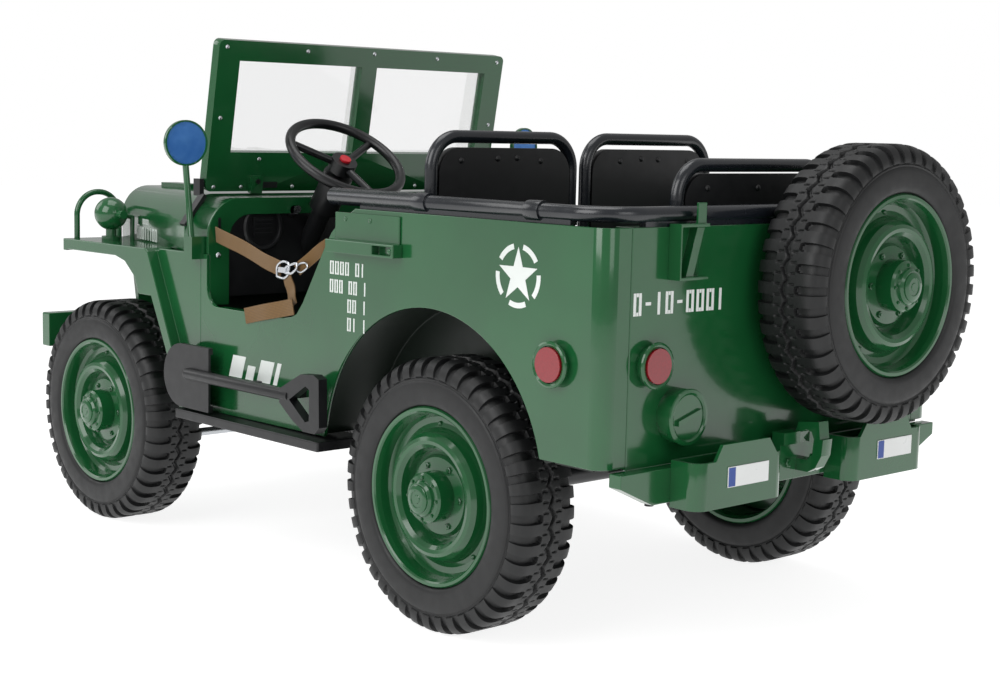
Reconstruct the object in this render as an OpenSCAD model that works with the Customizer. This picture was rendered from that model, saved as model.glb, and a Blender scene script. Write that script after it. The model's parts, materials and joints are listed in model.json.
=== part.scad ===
// Child's ride-on military 4x4: open body, three seats, folding windscreen, steered front wheels.
// Axes: front is -Y, the car's left is +X, up is +Z. The origin is on the ground, mid length.

/* [Overall] */
// Body width over the side panels
body_w = 700; // [580:10:860]
// Distance between the axles
wheelbase = 870; // [720:10:1060]
// Height of the body side above the ground
body_top = 562; // [540:2:640]
// Height of the body's lower edge
belly_z = 228; // [210:2:240]
// Height of the door sill
sill_z = 393; // [340:1:440]
// Thickness of the moulded panels
panel_t = 6; // [4:0.5:8]
// Reach of the front bumper ahead of the front axle
front_reach = 237; // [210:1:280]
// Reach of the spare wheel behind the rear axle
rear_reach = 433; // [425:1:480]

/* [Wheels] */
// Tyre diameter
wheel_d = 373; // [340:1:386]
// Tyre width
wheel_w = 105; // [95:1:125]
// How far the tyre stands out past the body side
wheel_out = 18; // [10:1:40]
// Radius of the rim flange
rim_r = 120; // [110:1:126]
// Diameter of the stub axles
axle_d = 24; // [18:1:28]
// Radius added to every running bore
run_gap = 0.06; // [0.02:0.01:0.1]
// Radius of the wheel arch
arch_r = 226; // [215:1:240]

/* [Steering] */
// Distance of the kingpins from the middle
king_x = 232; // [225:1:236]
// Diameter of the kingpins
king_d = 16; // [12:1:18]
// Length of the steering arms
arm_len = 70; // [55:1:85]
// Diameter of the tie rod pins
rod_pin_d = 10; // [8:1:12]
// Outer radius of the steering wheel
wheel_r = 101; // [90:1:110]
// Thickness of the steering wheel rim
wheel_grip = 16; // [12:1:20]
// Slope of the steering column from level
column_tilt = 55; // [45:1:65]
// Distance of the steering wheel from the middle
column_x = 150; // [120:1:180]
// Diameter of the column shaft
shaft_d = 16; // [12:1:20]

/* [Windscreen] */
// Height of the windscreen frame
screen_h = 243; // [200:1:260]
// How far the windscreen frame stands in from the body side
screen_in = 47; // [40:1:60]
// Depth of the frame section
screen_t = 18; // [14:1:22]
// Backward lean at rest
screen_lean = 10; // [5:1:15]
// Height of the lower panel
screen_sill = 64; // [50:1:80]
// Width of the centre post
screen_post = 32; // [24:2:44]
// Width of the side members
screen_side = 41; // [34:1:50]
// Diameter of the hinge pins
hinge_d = 10; // [8:1:12]

/* [Seats and rail] */
// Distance of the front seats in from the body side
seat_in = 199; // [190:1:204]
// Width of a front seat frame
seat_w = 290; // [260:2:292]
// Height of the front seat frames
seat_top = 674; // [640:1:720]
// Height of the seat pans
seat_z = 400; // [380:1:420]
// Diameter of the seat tubes
tube_d = 18; // [16:1:22]
// Diameter of the body rail
rail_d = 20; // [16:1:24]

/* [Tow hook] */
// Bore of the hitch pin in the lower jaw
eye_d = 10; // [6:0.5:11]
// Width of the tow hook
hook_w = 20; // [18:1:24]

/* [Hidden] */
$fn = 64;
hw = body_w / 2;
screen_w = body_w - 2 * screen_in;
seat_x = hw - seat_in;
tyre_r = wheel_d / 2;
axle_z = tyre_r;
rear_y = (wheelbase + front_reach - rear_reach) / 2;
front_y = rear_y - wheelbase;
wheel_x0 = hw + wheel_out - wheel_w;
tail_y = rear_y + 300;
cowl_y = front_y + 315;
screen_y = front_y + 233;
nose_y = front_y - 115;
fender_x = hw + wheel_out;
fender_z = 473;
seam_y = front_y + 298;
step_y0 = front_y + 271;
step_y1 = rear_y - 226;
axle_r = axle_d / 2;
bore_r = axle_r + run_gap;
corner_r = 22;
tail_x = hw - 45;
arch_y = rear_y - 25;
arch_z = 211;
rail_x = hw - 10;
rail_z = body_top + 15;
frame_x0 = 120;
frame_x1 = 150;
frame_z0 = 234;
frame_z1 = 262;
floor_z = 268;
pivot_y = screen_y - 3;
pivot_z = body_top + 16;
bonnet_top = body_top - 2;
cowl_hw = hw - 12;
rod_z = axle_z - 44;
spare_x = -95;
spare_z = 483;
spare_y0 = tail_y + 12;
stub_end = wheel_x0 + 86;
seat_y = rear_y - 97;
rear_seat_y = rear_y + 237;
mirror_x = hw + 12;
fit = 0.3;
pane_h = (screen_w / 2 - screen_side - screen_post / 2) / 2;
pane_x = (screen_w / 2 - screen_side + screen_post / 2) / 2;
pane_z = screen_h - screen_sill - 32;
bumper_hw = hw - 13;
bar_x = hw - 16;
bar_y = tail_y + 20;
hook_y = bar_y + 14;
leg_y = arch_y - seat_y - tube_d / 2;
leg_z = arch_z + sqrt(pow(arch_r + 7, 2) - leg_y * leg_y);
wheel_c = [column_x, front_y + 405, body_top + 63];

// A flat shape drawn in Y and Z, given thickness from x0 to x1.
module along_x(x0, x1) {
    translate([x0, 0, 0])
        rotate([90, 0, 90])
            linear_extrude(x1 - x0)
                children();
}

// A flat shape drawn in X and Z, given thickness from y0 to y1.
module along_y(y0, y1) {
    translate([0, y1, 0])
        rotate([90, 0, 0])
            linear_extrude(y1 - y0)
                children();
}

// A box given by its two opposite corners.
module span(a, b) {
    translate(a)
        cube(b - a);
}

// The same thing on the left and on the right.
module both() {
    children();
    mirror([1, 0, 0])
        children();
}

// A rectangle with round corners.
module round_rect(x0, y0, x1, y1, r) {
    translate([x0 + r, y0])
        square([x1 - x0 - 2 * r, y1 - y0]);
    translate([x0, y0 + r])
        square([x1 - x0, y1 - y0 - 2 * r]);
    for (x = [x0 + r, x1 - r])
        for (y = [y0 + r, y1 - r])
            translate([x, y])
                circle(r);
}

// A rectangle with its two upper corners round.
module arch_rect(x0, y0, x1, y1, r) {
    translate([x0, y0])
        square([x1 - x0, y1 - y0 - r]);
    translate([x0 + r, y0])
        square([x1 - x0 - 2 * r, y1 - y0]);
    for (x = [x0 + r, x1 - r])
        translate([x, y1 - r])
            intersection() {
                circle(r);
                translate([-r, 0])
                    square([2 * r, r]);
            }
}

// A cylinder along X.
module rod_x(p, len, d) {
    translate(p)
        rotate([0, 90, 0])
            cylinder(h = len, d = d);
}

// A cylinder along Y.
module rod_y(p, len, d) {
    translate(p)
        rotate([-90, 0, 0])
            cylinder(h = len, d = d);
}

// A straight round bar between two points.
module bar(a, b, d) {
    v = b - a;
    len = norm(v);
    translate(a)
        rotate([0, acos(v[2] / len), atan2(v[1], v[0])])
            cylinder(h = len, d = d);
}

// A flat strap between two points in a plane across X.
module flat_bar(x0, x1, a, b, w) {
    v = b - a;
    translate([x0, a[0], a[1]])
        rotate([atan2(v[1], v[0]), 0, 0])
            translate([0, 0, -w / 2])
                cube([x1 - x0, norm(v), w]);
}

// A hoop of round tube: two legs and a top, in a plane across Y.
module tube_hoop(x0, x1, z0, z1, r, d, z2 = 0) {
    for (s = [[x0, z0], [x1, max(z0, z2)]])
        translate([s[0], 0, s[1]])
            cylinder(h = z1 - r - s[1], d = d);
    translate([x0 + r, 0, z1])
        rotate([0, 90, 0])
            cylinder(h = x1 - x0 - 2 * r, d = d);
    translate([x0 + r, 0, z1 - r])
        rotate([90, 0, 0])
            rotate([0, 0, 90])
                rotate_extrude(angle = 90)
                    translate([r, 0])
                        circle(d = d);
    translate([x1 - r, 0, z1 - r])
        rotate([90, 0, 0])
            rotate_extrude(angle = 90)
                translate([r, 0])
                    circle(d = d);
}

// Wheel shapes, turned about Z, from the inner face at 0 to the outer face at wheel_w.
module rim_shape() {
    w = wheel_w;
    r = rim_r;
    rotate_extrude($fn = 96)
        polygon([[0, w + 15], [21, w + 15], [24, w + 12], [25, w + 8], [31, w + 7], [34, w + 4],
            [35, w - 19], [52, w - 21], [56, w - 26], [60, w - 27], [63, w - 20], [66, w - 11],
            [71, w - 6], [76, w - 5], [81, w - 7], [86, w - 13], [89, w - 22], [92, w - 28],
            [98, w - 30], [r - 14, w - 29], [r - 10, w - 24], [r - 8, w - 12], [r - 6, w - 5],
            [r - 4, w - 3], [r, w - 3], [r + 2, w - 6], [r, w - 12], [r - 3, w - 14],
            [r - 3, 20], [r, 12], [r + 2, 6], [r, 3], [r - 5, 3], [r - 8, 8], [r - 10, 20],
            [r - 10, w - 34], [r - 12, w - 36], [92, w - 36], [86, w - 30], [82, w - 17],
            [76, w - 12], [72, w - 14], [68, w - 22], [64, w - 33], [30, w - 33], [30, 42],
            [bore_r, 42], [bore_r, 88], [0, 88]]);
}

module tyre_shape() {
    w = wheel_w;
    r = tyre_r;
    q = rim_r - 3;
    rotate_extrude($fn = 96)
        polygon([[q, 20], [q + 3, 12], [q + 5, 6], [q + 7, 2], [q + 16, 0], [r - 30, 0],
            [r - 14, 4], [r - 4, 12], [r, 22], [r, w - 22], [r - 4, w - 12], [r - 14, w - 4],
            [r - 30, w], [q + 16, w], [q + 7, w - 2], [q + 5, w - 6], [q + 3, w - 12],
            [q, w - 14]]);
}

// Puts a wheel shape on the left or right end of an axle.
module at_wheel(side, y) {
    translate([side * wheel_x0, y, axle_z])
        rotate([0, side * 90, 0])
            children();
}

module at_spare() {
    translate([spare_x, spare_y0, spare_z])
        rotate([-90, 0, 0])
            children();
}

module leaf_spring(y) {
    sag = 19;
    half = 120;
    big = (half * half + sag * sag) / (2 * sag);
    base = axle_z + 20;
    intersection() {
        along_x(frame_x0 + 2, frame_x1 - 2)
            translate([y, base + big])
                difference() {
                    circle(big + 4, $fn = 128);
                    circle(big - 4, $fn = 128);
                }
        span([0, y - half, base - 10], [hw, y + half, base + sag + 8]);
    }
    for (s = [-1, 1])
        rod_x([frame_x0 + 2, y + s * half, frame_z0 - 9], frame_x1 - frame_x0 - 4, 18);
    span([frame_x0 - 2, y - 22, axle_z + 16], [frame_x1 + 2, y + 22, axle_z + 31]);
}

module chassis_frame() {
    color("#26282a") {
        both()
            span([frame_x0, nose_y - 97, frame_z0], [frame_x1, tail_y, frame_z1]);
        for (y = [nose_y + 20, front_y + 230, rear_y - 220, rear_y + 190])
            span([-frame_x0 - 1, y, frame_z0 + 2], [frame_x0 + 1, y + 30, frame_z1 - 2]);
        both()
            span([frame_x0, nose_y - 97, frame_z0], [frame_x1, nose_y - 89, 312]);
    }
}

module front_axle() {
    color("#1f2122") {
        span([-king_x + 18, front_y - 18, axle_z - 18], [king_x - 18, front_y + 18, axle_z + 16]);
        both() {
            for (z = [axle_z - 37, axle_z + 23]) {
                translate([king_x, front_y, z])
                    cylinder(h = 14, r = 20);
                span([king_x - 60, front_y - 18, z], [king_x, front_y + 18, z + 14]);
            }
            span([king_x - 60, front_y - 18, axle_z - 37], [king_x - 22, front_y + 18, axle_z + 37]);
            translate([king_x, front_y, axle_z - 42])
                cylinder(h = 84, d = king_d);
        }
    }
}

// The moving half of a kingpin joint, with the stub axle, the arm and the gear motor.
module knuckle() {
    difference() {
        union() {
            translate([king_x, front_y, axle_z - 22.5])
                cylinder(h = 45, r = 17);
            rod_x([king_x + 10, front_y, axle_z], 22, 36);
            rod_x([king_x, front_y, axle_z], stub_end - king_x, axle_d);
            rod_x([wheel_x0 - 1, front_y, axle_z], 38, 90);
            rod_y([wheel_x0 + 18, front_y - 95, axle_z], 60, 36);
            span([king_x - 9, front_y, axle_z - 22.5], [king_x + 9, front_y + arm_len, axle_z - 10.5]);
            translate([king_x, front_y + arm_len, axle_z - 22.5])
                cylinder(h = 12, r = 12);
            translate([king_x, front_y + arm_len, rod_z - 10])
                cylinder(h = 40, d = rod_pin_d);
        }
        translate([king_x, front_y, axle_z - 50])
            cylinder(h = 100, r = king_d / 2 + run_gap);
    }
}

module knuckle_left() {
    color("#1f2122")
        knuckle();
}

module knuckle_right() {
    color("#1f2122")
        mirror([1, 0, 0])
            knuckle();
}

module tie_rod() {
    y = front_y + arm_len;
    color("#8a8d90")
        difference() {
            union() {
                rod_x([-king_x, y, rod_z], 2 * king_x, 14);
                for (s = [-1, 1])
                    translate([s * king_x, y, rod_z - 8])
                        cylinder(h = 16, r = 13);
            }
            for (s = [-1, 1])
                translate([s * king_x, y, rod_z - 20])
                    cylinder(h = 40, r = rod_pin_d / 2 + run_gap);
        }
}

module rear_axle() {
    color("#1f2122") {
        rod_x([-wheel_x0 + 2, rear_y, axle_z], 2 * wheel_x0 - 4, 32);
        rod_x([-stub_end, rear_y, axle_z], 2 * stub_end, axle_d);
    }
}

module rear_motors() {
    color("#1f2122")
        both()
            difference() {
                union() {
                    rod_x([wheel_x0 - 2, rear_y, axle_z], 39, 90);
                    rod_y([wheel_x0 + 18, rear_y - 95, axle_z], 60, 36);
                    span([wheel_x0 - 26, rear_y - 26, axle_z - 26], [wheel_x0 - 1, rear_y + 26, axle_z + 26]);
                }
                rod_x([0, rear_y, axle_z], wheel_x0 - 2, 32);
                rod_x([0, rear_y, axle_z], stub_end, axle_d);
            }
}

module leaf_springs() {
    color("#303335")
        both()
            for (y = [front_y, rear_y])
                leaf_spring(y);
}

module battery() {
    color("#3a3a3c")
        span([-75, seat_y - 150, floor_z], [75, seat_y - 60, floor_z + 94]);
}

module cabin_tub() {
    f = hw - 12;
    y0 = front_y + 270;
    y1 = tail_y - panel_t;
    ay0 = arch_y - arch_r - 8;
    ay1 = arch_y + arch_r + 8;
    color("#0d3018") {
        difference() {
            span([-f, y0, frame_z1], [f, y1, floor_z]);
            both() {
                span([hw - 106, ay0, frame_z1 - 1], [f + 1, ay1, floor_z + 1]);
                span([hw - corner_r, tail_y - corner_r, frame_z1 - 1], [f + 1, y1 + 1, floor_z + 1]);
            }
        }
        span([-cowl_hw + 8, y0, frame_z1], [cowl_hw - 8, y0 + panel_t, fender_z + 20]);
        for (s = [[hw - 108, seat_y - 205, seat_y - 10], [hw - 120, rear_seat_y - 165, tail_y - 8]])
            difference() {
                span([-s[0], s[1], frame_z1], [s[0], s[2], seat_z - 20]);
                span([-s[0] + panel_t, s[1] + panel_t, frame_z1 - 1],
                    [s[0] - panel_t, s[2] - panel_t, seat_z - 20 - panel_t]);
            }
    }
}

module arch_liners() {
    r = arch_r + 1;
    color("#0b2a14")
        both()
            difference() {
                along_x(hw - 106, hw - panel_t)
                    translate([arch_y, arch_z])
                        circle(r + 6, $fn = 96);
                along_x(hw - 100, hw)
                    translate([arch_y, arch_z])
                        circle(r, $fn = 96);
                span([0, arch_y - 300, -100], [hw + 1, arch_y - 120, belly_z + 6]);
                span([0, arch_y - 120.01, -100], [hw + 1, arch_y + 300, belly_z + 34]);
            }
}

module dashboard() {
    color("#18191a")
        difference() {
            along_y(cowl_y - 18, cowl_y - 6)
                arch_rect(-cowl_hw + 26, sill_z + 12, cowl_hw - 26, body_top - 14, 50);
            translate(wheel_c)
                rotate([column_tilt - 90, 0, 0])
                    translate([0, 0, -300])
                        cylinder(h = 300, r = 16 + fit);
        }
}

module cowl() {
    t = panel_t;
    color("#1f5b33") {
        difference() {
            along_y(screen_y, cowl_y - 6)
                arch_rect(-cowl_hw, sill_z - 20, cowl_hw, bonnet_top, 60);
            along_y(screen_y - 1, cowl_y)
                arch_rect(-cowl_hw + t, sill_z - 40, cowl_hw - t, bonnet_top - t, 60 - t);
        }
        difference() {
            along_y(cowl_y - 6, cowl_y) {
                arch_rect(-hw + t, sill_z, hw - t, bonnet_top - 1, 60);
                arch_rect(-hw + 3, fender_z, hw - 3, bonnet_top, 60);
            }
            along_y(cowl_y - 7, cowl_y + 3)
                arch_rect(-hw + 41, sill_z - 60, hw - 41, bonnet_top - 26, 40);
        }
    }
}

// Side panel outline in Y and Z: bottom edge, wheel arch and door opening.
module side_outline() {
    y0 = seam_y;
    r = 30;
    e = rear_y - 186;
    difference() {
        polygon([[y0, belly_z], [arch_y, belly_z + 4], [arch_y + arch_r - 40, 267],
            [tail_y, 267], [tail_y, body_top], [y0, body_top]]);
        translate([arch_y, arch_z])
            circle(arch_r, $fn = 128);
        difference() {
            union() {
                polygon([[cowl_y, sill_z + r], [cowl_y + r, sill_z], [rear_y - 352, sill_z],
                    [rear_y - 334, sill_z + 3], [rear_y - 320, sill_z + 9],
                    [rear_y - 305, sill_z + 27], [rear_y - 253, 505], [rear_y - 238, 526],
                    [rear_y - 218, 543], [rear_y - 200, 553], [e, body_top - 1],
                    [e, body_top + 20], [cowl_y, body_top + 20]]);
                translate([cowl_y, sill_z])
                    square([r, r]);
            }
            difference() {
                translate([cowl_y - 1, sill_z - 1])
                    square([r + 1, r + 1]);
                translate([cowl_y + r, sill_z + r])
                    circle(r);
            }
        }
        translate([y0 - 1, fender_z])
            square([cowl_y - y0 + 1.01, 400]);
    }
}

module side_panels() {
    t = panel_t;
    color("#1f5b33")
        both() {
            difference() {
                along_x(hw - t, hw)
                    side_outline();
                span([hw - t - 1, tail_y - corner_r, 0], [hw + 1, tail_y + 1, 900]);
            }
            translate([hw - corner_r, tail_y - corner_r, 0])
                difference() {
                    translate([0, 0, 267])
                        cylinder(h = body_top - 267, r = corner_r);
                    translate([0, 0, 266])
                        cylinder(h = body_top, r = corner_r - t);
                    translate([-corner_r - 1, -corner_r - 1, 0])
                        cube([corner_r + 1, 2 * corner_r + 2, 900]);
                    translate([-corner_r - 1, -corner_r - 1, 0])
                        cube([2 * corner_r + 2, corner_r + 1, 900]);
                }
            span([tail_x + 0.5, tail_y - t, 267], [hw - corner_r, tail_y, body_top]);
            span([hw - t - 12, cowl_y + 30, sill_z - 6], [hw - t + 1, rear_y - 352, sill_z]);
            span([hw - 34, seam_y, belly_z + 4], [hw - t + 1, arch_y - arch_r - 12, belly_z + 10]);
        }
}

module tail_panel() {
    t = panel_t;
    color("#1f5b33") {
        span([-tail_x, tail_y - t, 263], [tail_x, tail_y, body_top]);
        span([-tail_x, tail_y - 30, body_top - t], [tail_x, tail_y - t + 1, body_top]);
    }
}

// Cross-section of the bonnet, smaller by g all round.
module bonnet_section(w, g) {
    arch_rect(-w + g, fender_z, w - g, bonnet_top + 3 - g, 52 - g);
}

module bonnet_body(g, e) {
    hull() {
        along_y(nose_y + 12 + e, nose_y + 14 + e)
            bonnet_section(252, g);
        along_y(screen_y - 2 + e, screen_y + e)
            bonnet_section(cowl_hw, g);
    }
    hull() {
        along_y(nose_y + 12 + e, nose_y + 14 + e)
            bonnet_section(252, g);
        along_y(nose_y + e, nose_y + 1 + e)
            bonnet_section(244, g + 10);
    }
}

module bonnet() {
    color("#1f5b33") {
        difference() {
            bonnet_body(0, 0);
            bonnet_body(5, 5);
            span([-300, nose_y - 5, fender_z - 5], [300, nose_y + 12, bonnet_top - 34]);
        }
        both()
            span([184, front_y - 36, bonnet_top + 1], [214, front_y + 50, bonnet_top + 11]);
    }
}

module grille() {
    slots = 8;
    pitch = 32;
    color("#1f5b33")
        difference() {
            union() {
                along_y(nose_y + 2, nose_y + 12)
                    polygon([[-165, 340], [-165, 270], [165, 270], [165, 340],
                        [218, 350], [236, fender_z + 30], [228, bonnet_top - 35],
                        [-228, bonnet_top - 35], [-236, fender_z + 30], [-218, 350]]);
                both()
                    span([159, nose_y + 12, 270], [165, front_y + 190, fender_z - 6]);
            }
            for (i = [0 : slots - 1])
                along_y(nose_y, nose_y + 20)
                    translate([(i - (slots - 1) / 2) * pitch, 0])
                        round_rect(-7, 330, 7, 505, 6.5);
            both()
                rod_y([182, nose_y, 440], 20, 70);
        }
}

module headlights() {
    color("#d8dcdf")
        both() {
            rod_y([182, nose_y - 4, 440], 6, 80);
            rod_y([182, nose_y + 2, 440], 10, 69.8);
            rod_y([192, nose_y - 4, 384], 6, 26);
        }
}

// Outline of the fender sheet in Y and Z, t thick.
module fender_strip(t) {
    y0 = nose_y + 12;
    y1 = front_y + 162;
    ax = front_y + 242;
    ay = front_y + 283;
    polygon([[y0, fender_z], [y1, fender_z], [y1 + 8, fender_z - 5], [ax, 320], [ay, belly_z],
        [ay - t * 1.07, belly_z], [ax - t * 1.09, 320], [y1 - t * 0.6, fender_z - t - 2],
        [y1 - t * 0.7, fender_z - t], [y0, fender_z - t]]);
}

module front_fenders() {
    color("#1f5b33")
        both() {
            along_x(165, fender_x)
                fender_strip(6);
            along_x(fender_x - 8, fender_x)
                fender_strip(18);
            span([240, nose_y + 12, fender_z - 20], [fender_x, nose_y + 23, fender_z]);
            along_x(fender_x - 8, fender_x)
                polygon([[front_y + 70, fender_z - 4], [front_y + 70, fender_z - 18],
                    [front_y + 99, fender_z - 25], [front_y + 130, fender_z - 49],
                    [front_y + 142, fender_z - 75], [front_y + 182, fender_z - 75],
                    [front_y + 165, fender_z - 4]]);
            along_x(hw - panel_t, hw)
                polygon([[front_y + 165, fender_z - 3], [seam_y, fender_z - 3],
                    [seam_y, belly_z], [front_y + 281, belly_z], [front_y + 241, 320]]);
            span([cowl_hw, front_y + 175, fender_z - 6], [hw, seam_y, fender_z]);
        }
}

module front_bumper() {
    color("#1f5b33")
        difference() {
            span([-bumper_hw, front_y - front_reach, 271], [bumper_hw, nose_y - 97, 331]);
            span([-bumper_hw + 5, front_y - front_reach + 5, 270],
                [bumper_hw - 5, nose_y - 102, 326]);
        }
}

module side_steps() {
    color("#141516")
        both()
            span([hw - 60, step_y0, belly_z - 14], [hw + 30, step_y1, belly_z]);
}

module body_rail() {
    r = 60;
    y1 = tail_y - 7;
    color("#2b2f33") {
        both() {
            rod_y([rail_x, rear_y - 245, rail_z], y1 - r - rear_y + 245, rail_d);
            translate([rail_x - r, y1 - r, rail_z])
                rotate_extrude(angle = 90)
                    translate([r, 0])
                        circle(d = rail_d);
            rod_y([rail_x, rear_y - 247, rail_z], 187, rail_d + 4);
            rod_y([rail_x, rear_y - 62, rail_z], 26, rail_d + 6);
            rod_y([rail_x, rear_y + 155, rail_z], 26, rail_d + 6);
            span([rail_x - 7, rear_y - 180, body_top], [rail_x + 5, y1 - r, rail_z]);
        }
        rod_x([-rail_x + r, y1, rail_z], 2 * (rail_x - r), rail_d);
        span([-rail_x + r, tail_y - 13, body_top], [rail_x - r, tail_y - 2, rail_z]);
    }
}

module seat_shell(x0, x1, y, back_x0, back_x1, back_z0, back_z1) {
    difference() {
        span([x0, y - 200, seat_z - 20], [x1, y - 10, seat_z + 22]);
        span([x0 + 28, y - 201, seat_z + 12], [x1 - 28, y - 40, seat_z + 60]);
    }
    along_y(y - 7, y + 7)
        round_rect(back_x0, back_z0, back_x1, back_z1, 37);
    span([x0 + 30, y - 40, seat_z + 11], [x1 - 30, y - 7, back_z0 + 20]);
}

module front_seats() {
    h = seat_w / 2 - tube_d - fit;
    color("#17181a")
        both()
            seat_shell(10, hw - 108, seat_y, seat_x - h, seat_x + h, seat_z + 42, seat_top - 24);
}

module front_seat_frames() {
    h = seat_w / 2 - tube_d / 2;
    color("#2b2f33")
        both()
            translate([seat_x, seat_y, 0])
                tube_hoop(-h, h, seat_z - 20, seat_top - tube_d / 2, 45, tube_d, leg_z + fit);
}

module rear_seat() {
    color("#17181a")
        seat_shell(-147, 147, rear_seat_y, -156 + tube_d / 2 + fit, 156 - tube_d / 2 - fit,
            seat_z + 10, seat_top - 49);
}

module rear_seat_frame() {
    color("#2b2f33")
        translate([0, rear_seat_y, 0])
            tube_hoop(-156, 156, seat_z - 20, seat_top - 29 - tube_d / 2, 45, tube_d);
}

module hinge_brackets() {
    x = screen_w / 2 + 3;
    color("#141516")
        both() {
            span([x, pivot_y - 9, bonnet_top], [x + 8, pivot_y + 9, pivot_z + 9]);
            translate([x + 1.5, screen_y + 1, bonnet_top - 0.1])
                rotate([0, 52, 0])
                    cube([60, 16, 6]);
            rod_x([x - 22, pivot_y, pivot_z], 24, hinge_d);
        }
}

// Places the windscreen's own upright frame: base line at the pivot, leaning back.
module at_screen() {
    translate([0, pivot_y, pivot_z])
        rotate([-screen_lean, 0, 0])
            children();
}

module windscreen_frame() {
    w = screen_w / 2;
    t = screen_t / 2;
    z0 = -10;
    color("#1f5b33")
        at_screen()
            difference() {
                union() {
                    along_y(-t, t)
                        difference() {
                            round_rect(-w, z0, w, screen_h + z0, 10);
                            for (s = [-1, 1])
                                translate([s * pane_x, 0])
                                    square_window(pane_h);
                        }
                    both()
                        span([198, t - 1, z0 - 2], [220, t + 8, 16]);
                }
                both()
                    rod_x([w - 24, 0, 0], 30, hinge_d + 2 * run_gap);
            }
}

module square_window(h) {
    translate([-h, screen_sill - 10])
        square([2 * h, pane_z]);
}

module windscreen_panes() {
    color("#e9eef0", 0.4)
        at_screen()
            for (s = [-1, 1])
                translate([s * pane_x - pane_h, -1.5, screen_sill - 10])
                    cube([2 * pane_h, 3, pane_z]);
}

module at_column() {
    translate(wheel_c)
        rotate([column_tilt - 90, 0, 0])
            children();
}

module steering_column() {
    color("#141516")
        at_column()
            difference() {
                union() {
                    translate([0, 0, -196])
                        cylinder(h = 164, r = 16);
                    translate([0, 0, -100])
                        cylinder(h = 68, r = 24);
                }
                translate([0, 0, -185])
                    cylinder(h = 200, r = shaft_d / 2 + run_gap);
            }
}

module steering_wheel() {
    r = wheel_r - wheel_grip / 2;
    color("#161718")
        at_column() {
            rotate_extrude($fn = 96)
                translate([r, 0])
                    circle(d = wheel_grip, $fn = 32);
            translate([0, 0, -24])
                cylinder(h = 20, r = 21);
            for (a = [90, 210, 330])
                rotate([0, 0, a])
                    translate([10, 0, -13])
                        rotate([0, 84, 0])
                            cylinder(h = r - 12, r = 6);
            translate([0, 0, -165])
                cylinder(h = 150, d = shaft_d);
        }
}

module horn_button() {
    color("#c8232c")
        at_column()
            translate([0, 0, -4])
                cylinder(h = 4, r = 9);
}

module mirrors() {
    y = front_y + 270;
    color("#1f5b33")
        both() {
            span([cowl_hw, front_y + 283, fender_z], [mirror_x + 9, front_y + 305, 500]);
            span([hw, front_y + 283, 465], [mirror_x + 9, front_y + 305, fender_z]);
            bar([mirror_x, front_y + 292, 480], [mirror_x, y + 3, 609.8], 10);
            translate([mirror_x, y, 644])
                rotate([-90, 0, -8])
                    difference() {
                        cylinder(h = 8, r = 35.5);
                        translate([0, 0, 4])
                            cylinder(h = 5, r = 33);
                    }
            translate([mirror_x, y, 644])
                rotate([90, 0, -8])
                    cylinder(h = 8, r1 = 33, r2 = 22);
        }
}

module mirror_glass() {
    color("#2f5f9f")
        both()
            translate([mirror_x, front_y + 270, 644])
                rotate([-90, 0, -8])
                    translate([0, 0, 4])
                        cylinder(h = 2, r = 33 - fit);
}

module fender_lamp() {
    x = hw - 33;
    y = front_y - 30;
    color("#1f5b33") {
        translate([x, y, 518])
            sphere(r = 28);
        translate([x, y, fender_z])
            cylinder(h = 40, r = 9);
        translate([x, y, fender_z])
            cylinder(h = 7, r = 16);
        rod_y([x, y + 18, 518], 24, 14);
    }
}

module lamp_guard() {
    a = [hw - 70, front_y - 23, 512];
    b = [hw - 33, front_y - 30, 518];
    color("#1f5b33") {
        translate([0, front_y - 101, 0])
            tube_hoop(hw - 90, hw - 8, fender_z, 552, 40, 10);
        bar([hw - 70, front_y - 23, fender_z], [hw - 70, front_y - 23, 514], 8);
        bar(a, a + (b - a) * (1 - (28 + fit) / norm(b - a)), 8);
    }
}

module lamp_rings() {
    color("#1f5b33")
        both() {
            translate([hw - 84, tail_y, 392])
                rotate([-90, 0, 0])
                    cylinder(h = 11, r1 = 25, r2 = 29);
            translate([hw, rear_y + 218, 390])
                rotate([0, 90, 0])
                    cylinder(h = 9, r1 = 25, r2 = 29);
        }
}

module lamp_lenses() {
    color("#a9262f")
        both() {
            rod_y([hw - 84, tail_y + 11, 392], 5, 44);
            rod_x([hw + 9, rear_y + 218, 390], 5, 44);
        }
}

module side_handles() {
    color("#1f5b33")
        both() {
            difference() {
                span([hw, rear_y - 231, 500], [hw + 17, rear_y - 80, 518]);
                span([hw + 4, rear_y - 126, 503], [hw + 18, rear_y - 86, 515]);
            }
            span([hw, rear_y - 226, 517], [hw + 3, rear_y - 84, 556]);
        }
}

module shovel() {
    x = hw + 21;
    z = 287;
    y0 = step_y0 - 20;
    color("#141516") {
        difference() {
            along_x(x - 2, x + 6)
                union() {
                    translate([y0 + 33, z - 5])
                        circle(50);
                    translate([y0 + 33, z - 55])
                        square([77, 100]);
                }
            along_x(x - 3, x + 2)
                translate([y0 + 31, z - 45])
                    square([88, 80]);
        }
        rod_y([x + 8, y0 + 56, z], 270, 18);
        translate([x + 8, y0 + 56, z])
            sphere(d = 18);
        along_x(x, x + 15)
            difference() {
                polygon([[y0 + 308, z - 11], [y0 + 308, z + 9], [y0 + 336, z + 24],
                    [y0 + 360, z + 36], [y0 + 390, z + 38], [y0 + 402, z + 33],
                    [y0 + 404, z - 36], [y0 + 394, z - 46], [y0 + 366, z - 46],
                    [y0 + 338, z - 32]]);
                polygon([[y0 + 332, z - 4], [y0 + 371, z + 20], [y0 + 380, z + 16],
                    [y0 + 380, z - 29], [y0 + 371, z - 32]]);
            }
        for (y = [y0 + 64, y0 + 200, y0 + 312])
            span([hw, y, z - 5], [x + 2, y + 14, z + 5]);
    }
}

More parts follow.
